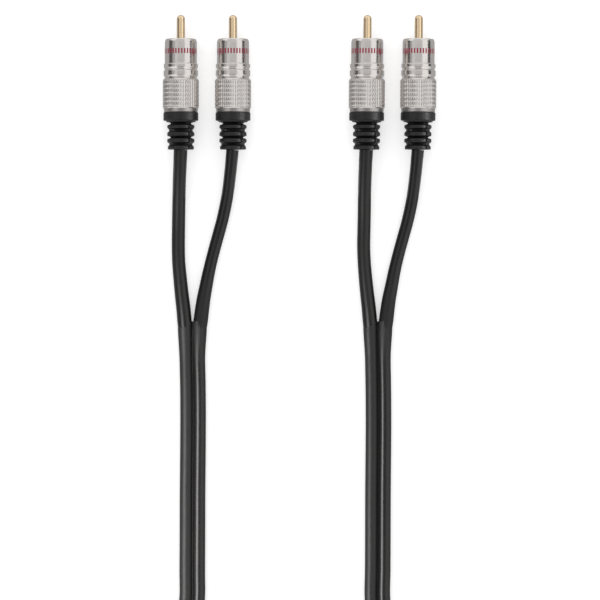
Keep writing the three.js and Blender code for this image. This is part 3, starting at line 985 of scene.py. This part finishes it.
class PHONO_OT_barrels(bpy.types.Operator):
    """Make the knurled nickel barrels"""

    bl_idname = "phono.barrels"
    bl_label = "Barrels"

    def execute(self, context):
        plug = context.scene.phono_plug
        nickel = nickel_finish(plug)
        put_in_plugs(("barrel", "shell", self.barrel_mesh(plug), nickel, "satin_nickel"))
        return {"FINISHED"}

    @staticmethod
    def barrel_mesh(plug):
        """The barrel's closed profile, turned, with the knurl cut into its grip."""
        nose = plug.nose_radius / MM
        bead = nose + plug.bead_rise / MM
        neck = nose + plug.neck_rise / MM
        grip = GRIP_RADIUS / MM
        knurl_front, knurl_back = -16.65, -27.4
        row_length, steps_each = plug.knurl_row / MM, 8
        columns_each = 6
        front = [
            (4.95, -0.9), (5.05, -0.67), (5.2, -0.6),
            *quarter(nose - 1.0, -2.04, 1.0, 1.7, 58, 0, 8),
            (nose, -5.4), (nose, -9.95), (nose + 0.02, -10.12),
            (bead - 0.12, -10.36), (bead - 0.03, -10.46), (bead, -10.58),
            (bead, -11.55), (bead - 0.03, -11.67),
            (nose + 0.08, -12.25), (nose + 0.02, -12.35), (nose + 0.02, -12.5),
            (bead - 0.08, -12.85), (bead + 0.03, -12.96), (bead + 0.06, -13.08),
            (bead + 0.06, -14.65), (bead + 0.03, -14.77),
            (nose + 0.1, -15.35), (nose + 0.02, -15.45), (nose + 0.02, -15.85),
            (nose + 0.32, -16.1), (nose + 0.42, -16.25), (grip - 0.12, -16.54),
        ]
        steps = round((knurl_front - knurl_back) / row_length * steps_each)
        knurl = [(grip, knurl_front - row_length * i / steps_each) for i in range(steps + 1)]
        knurl_back = knurl[-1][1]
        back = [
            (grip - 0.1, knurl_back - 0.06),
            (neck + 0.06, knurl_back - 0.36), (neck + 0.03, knurl_back - 0.44),
            (neck - 0.1, -28.95), (neck - 0.14, -29.05), (neck - 0.26, -29.15),
            (4.6, -29.15), (4.6, -27.5), (5.65, -27.5), (5.65, -15.0),
            (5.3, -14.9), (5.3, -9.8), (4.95, -9.7),
        ]
        front, back = held(front), held(back)
        profile = [*front, *knurl, *back]
        first = len(front)

        def reach(i, angle, radius):
            if not first <= i <= first + steps:
                return radius
            column = angle / TURN * plug.knurl_columns % 1
            row = (i - first) / steps_each % 1
            groove = 0.5 + 0.5 * math.cos(TURN * column)
            ring = max(0, 1 - 3 * (1 - abs(2 * row - 1)))
            return radius - (plug.knurl_depth * groove + plug.ring_depth * ring) / MM

        return turned_mesh("plug_shell", profile, plug.knurl_columns * columns_each, reach, close=True)


class PHONO_OT_contacts(bpy.types.Operator):
    """Make the gold pins and sleeves and the insulators, and finish the pieces inside the barrels"""

    bl_idname = "phono.contacts"
    bl_label = "Contacts"

    def execute(self, context):
        plug = context.scene.phono_plug
        gold = gold_finish(plug)
        plastic, film, tin, copper = (plain_finish(*values) for values in (
            ("white_plastic", (0.78, 0.75, 0.68), (0.72, 0.69, 0.61), 0.42, 3000, 0.02 * MM),
            ("liner_film", (0.5, 0.5, 0.47), (0.42, 0.42, 0.4), 0.35, 2000, 0.02 * MM),
            ("tinned_steel", (0.5, 0.5, 0.48), (0.4, 0.4, 0.39), 0.3, 5000, 0.01 * MM, 1.0),
            ("bare_copper", (0.6, 0.27, 0.14), (0.45, 0.17, 0.08), 0.35, 6000, 0.01 * MM, 1.0),
        ))
        put_in_plugs(
            ("centre_pin", "contact_pin", self.pin_mesh(), gold, "gold_plate"),
            ("ground_sleeve", "contact_sleeve", self.sleeve_mesh(), gold, "gold_plate"),
            ("insulator", "contact_insulator", self.insulator_mesh(), plastic, "white_plastic"),
        )
        inside = (
            ("liner", film), ("cable_clamp", tin), ("screen_tail", tin),
            ("conductor", copper), ("insulated_core", plastic),
        )
        for number in PLUGS:
            for node, finish in inside:
                dress(f"plug{number}_{node}", finish)
        return {"FINISHED"}

    @staticmethod
    def pin_mesh():
        """The pin: a round tip, a straight shank, a thin root and the solder cup's outside."""
        radius = PIN_RADIUS / MM
        tip = quarter(0, 7.35, radius, 1.45, 90, 0, 10)
        profile = [
            (0, tip[0][1]), *tip[1:], (radius, 3.0), (radius, -9.95), (radius - 0.05, -10.0),
            (1.2, -10.0), (1.2, -14.9), (1.45, -14.9), (1.5, -14.95), (1.5, -19.05), (1.45, -19.1),
            (0.9, -19.1), (0.9, -15.8), (0, -15.7),
        ]
        return turned_mesh("contact_pin", held(profile), 48)

    @staticmethod
    def sleeve_mesh():
        """The sleeve: a ring with four saw cuts, on a thicker plain body."""
        columns, leaves, arc_steps = 144, 4, 14
        step, wall, slot_half = 0.35, 0.5, 0.35
        ring = RING_RADIUS / MM - step
        bore = ring - wall
        front, slot_end, body_front, back = -0.8, -7.4, -10.0, -15.2
        leaf_end = slot_end - 0.1
        leaf_section = (
            (ring - 0.38, front), (ring - 0.12, front), (ring, front - 0.15),
            (ring, leaf_end), (bore, leaf_end), (bore, front - 0.15),
        )
        work = bmesh.new()
        rear = turned_mesh("sleeve_body", [
            (bore, slot_end), (ring, slot_end), (ring, body_front),
            (ring + step, body_front), (ring + step, back),
            (3.3, back), (3.3, body_front), (bore, body_front),
        ], columns, close=True)
        work.from_mesh(rear)
        bpy.data.meshes.remove(rear)
        edge = math.asin(slot_half / ring)
        for leaf in range(leaves):
            start = TURN * leaf / leaves + edge
            end = TURN * (leaf + 1) / leaves - edge
            rows = []
            for i in range(arc_steps + 1):
                angle = start + (end - start) * i / arc_steps
                way = Vector((math.sin(angle), 0, math.cos(angle)))
                rows.append([
                    (way * radius + Vector((0, station, 0))) * MM for radius, station in leaf_section
                ])
            part = lofted("sleeve_leaf", closed_ends(rows))
            work.from_mesh(part)
            bpy.data.meshes.remove(part)
        mesh = bpy.data.meshes.new("contact_sleeve")
        work.to_mesh(mesh)
        work.free()
        return finish_mesh(mesh)

    @staticmethod
    def insulator_mesh():
        """The insulator: a stepped bush round the pin."""
        profile = [
            (1.9, -8.2), (3.7, -8.2), (3.85, -8.35), (3.85, -9.7), (3.0, -9.7), (3.0, -14.6),
            (1.5, -14.6), (1.5, -10.3), (1.9, -10.3),
        ]
        return turned_mesh("contact_insulator", held(profile), 64, close=True)


class PHONO_OT_boots(bpy.types.Operator):
    """Make the ribbed rubber boots"""

    bl_idname = "phono.boots"
    bl_label = "Boots"

    def execute(self, context):
        rubber = rubber_finish(context.scene.phono_plug)
        boots = put_in_plugs(("boot", "strain_relief", self.boot_mesh(), rubber, "boot_rubber"))
        for boot in boots:
            lit_collection("boots").objects.link(boot)
        return {"FINISHED"}

    @staticmethod
    def boot_mesh():
        """A collar, then ribs over a slotted core, with a parting line down the ribs."""
        collar, collar_front, collar_back = 6.8, -29.2, -32.35
        bore, edge = 2.9, 0.4
        ribs = (
            (5.3, -34.05, -35.45), (5.3, -36.85, -38.4), (5.3, -39.4, -40.95), (5.08, -42.2, -43.55),
        )
        cores = (4.0, 4.6, 3.95, 4.5)
        slot_floor, slot_half = 3.0, 2.75
        seam_angle, seam_width, seam_depth = math.radians(41), math.radians(3.4), 0.75
        profile = [
            (bore, -26.3), (5.1, -26.3), (5.2, -26.4), (5.2, -27.0), (5.1, -27.1),
            (4.3, -27.1), (4.3, collar_front), (collar - 0.2, collar_front),
            (collar - 0.05, collar_front - 0.06), (collar, collar_front - 0.2),
            (collar, collar_back + 0.24), (collar - 0.06, collar_back + 0.07),
            (collar - 0.24, collar_back), (6.1, collar_back - 0.02), (5.92, collar_back - 0.08),
            (5.6, collar_back - 0.5), (5.45, collar_back - 0.58),
        ]
        profile = held(profile)
        depth = [None] * len(profile)
        for number, (radius, front, back) in enumerate(ribs):
            last = profile[-1][1]
            middle = (last + front) / 2
            walls = (
                (0.6, last - 0.08), (0.12, last - 0.3), (0.0, middle),
                (0.12, front + 0.28), (0.6, front + 0.08),
            )
            for share_up, station in walls:
                profile.append((radius, station))
                depth.append((number, share_up))
            rounded = [
                *quarter(radius - edge, front - edge, edge, edge, 90, 0, 4),
                *quarter(radius - edge, back + edge, edge, edge, 0, -90, 4),
            ]
            if number == len(ribs) - 1:
                rounded[5:] = [(radius, back + 0.12), (radius - 0.12, back)]
            profile.extend(rounded)
            depth.extend([(number, 1.0)] * len(rounded))
        profile.append((bore, ribs[-1][2]))
        depth.append(None)

        def reach(i, angle, radius):
            if depth[i] is None:
                return radius
            number, share_up = depth[i]
            core = cores[number]
            if abs(math.tan(angle)) < slot_half / slot_floor:
                core = min(core, slot_floor / abs(math.cos(angle)))
            here = core + (radius - core) * share_up
            off_seam = (angle - seam_angle + math.pi / 2) % math.pi - math.pi / 2
            seam = seam_depth * math.exp(-((off_seam / seam_width) ** 2))
            return here - seam * (0.4 + 0.6 * share_up)

        return turned_mesh("plug_strain_relief", profile, 240, reach, close=True)


class PHONO_PT_panel(bpy.types.Panel):
    """The lead's makers and settings in the sidebar"""

    bl_label = "Phono Lead"
    bl_space_type = "VIEW_3D"
    bl_region_type = "UI"
    bl_category = "Phono Lead"

    def draw(self, context):
        for operator in MAKERS:
            self.layout.operator(operator.bl_idname)
        for name, group in GROUPS.items():
            column = self.layout.column(align=True)
            for setting in group.__annotations__:
                column.prop(getattr(context.scene, name), setting)


MAKERS = (
    PHONO_OT_stage, PHONO_OT_tie, PHONO_OT_cable, PHONO_OT_barrels, PHONO_OT_contacts, PHONO_OT_boots,
)
GROUPS = {
    "phono_cable": PhonoCableSettings,
    "phono_plug": PhonoPlugSettings,
    "phono_stage": PhonoStageSettings,
}


def register():
    """Registers the settings, the makers and the panel."""
    for name, group in GROUPS.items():
        bpy.utils.register_class(group)
        setattr(bpy.types.Scene, name, bpy.props.PointerProperty(type=group))
    for maker in MAKERS:
        bpy.utils.register_class(maker)
    bpy.utils.register_class(PHONO_PT_panel)


def unregister():
    """Takes the panel, the makers and the settings out again."""
    bpy.utils.unregister_class(PHONO_PT_panel)
    for maker in reversed(MAKERS):
        bpy.utils.unregister_class(maker)
    for name, group in GROUPS.items():
        delattr(bpy.types.Scene, name)
        bpy.utils.unregister_class(group)


def main():
    """Makes everything in order."""
    register()
    bpy.ops.phono.stage()
    bpy.ops.phono.tie()
    bpy.ops.phono.cable()
    bpy.ops.phono.barrels()
    bpy.ops.phono.contacts()
    bpy.ops.phono.boots()


if __name__ == "__main__":
    main()
